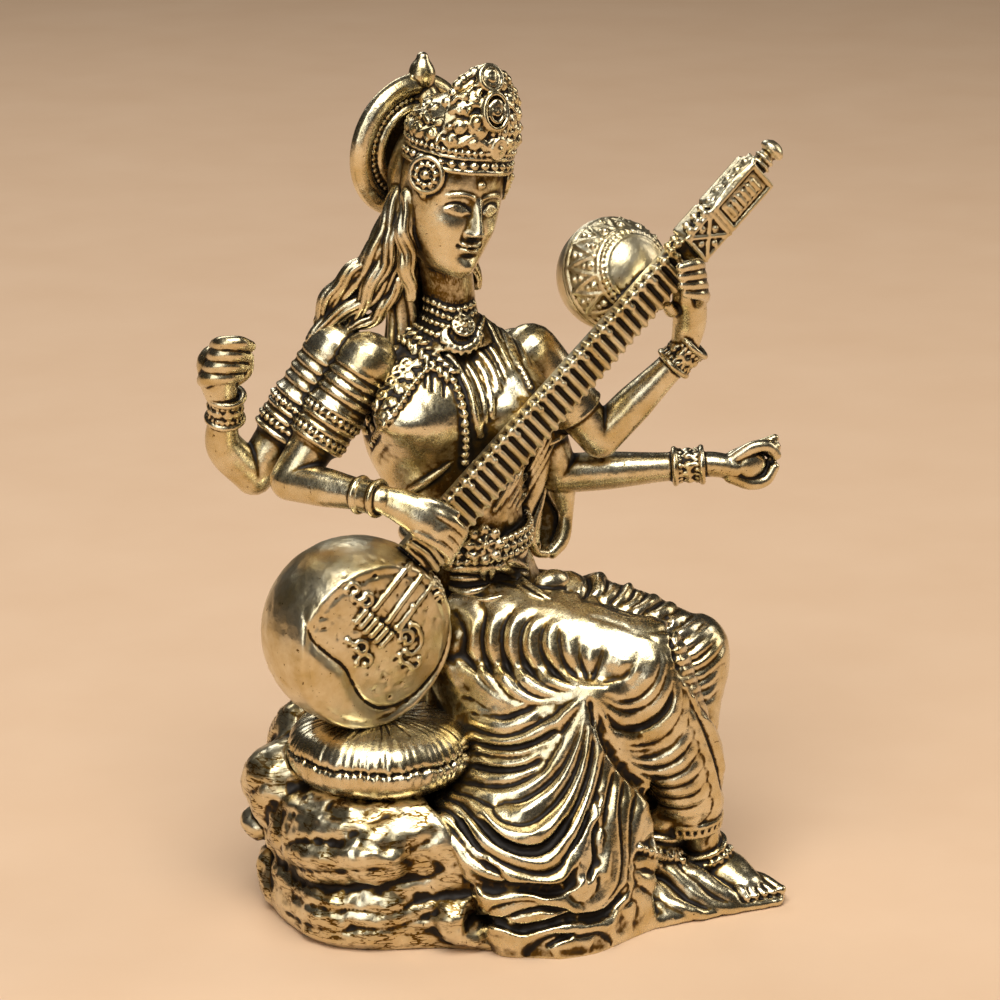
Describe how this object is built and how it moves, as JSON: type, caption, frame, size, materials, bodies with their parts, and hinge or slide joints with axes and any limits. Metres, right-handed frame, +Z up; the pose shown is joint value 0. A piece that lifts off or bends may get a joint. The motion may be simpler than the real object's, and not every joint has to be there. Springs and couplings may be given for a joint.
{
  "type": "seated figure playing a lute",
  "caption": "Small cast figure of a crowned woman seated on a rock, playing a long-necked lute whose gourd rests on a cushion; stands on its flat base.",
  "frame": {"origin": "on the flat underside, below the seated body", "axes": "+Z up, -Y the way the figure faces, -X towards her right hand"},
  "size_m": [0.0488, 0.0355, 0.0739],
  "materials": {
    "antique_brass": "cast, high spots polished, recesses darkened by a patina"
  },
  "bodies": {
    "root": {"saraswati_casting": "antique_brass"}
  },
  "joints": []
}
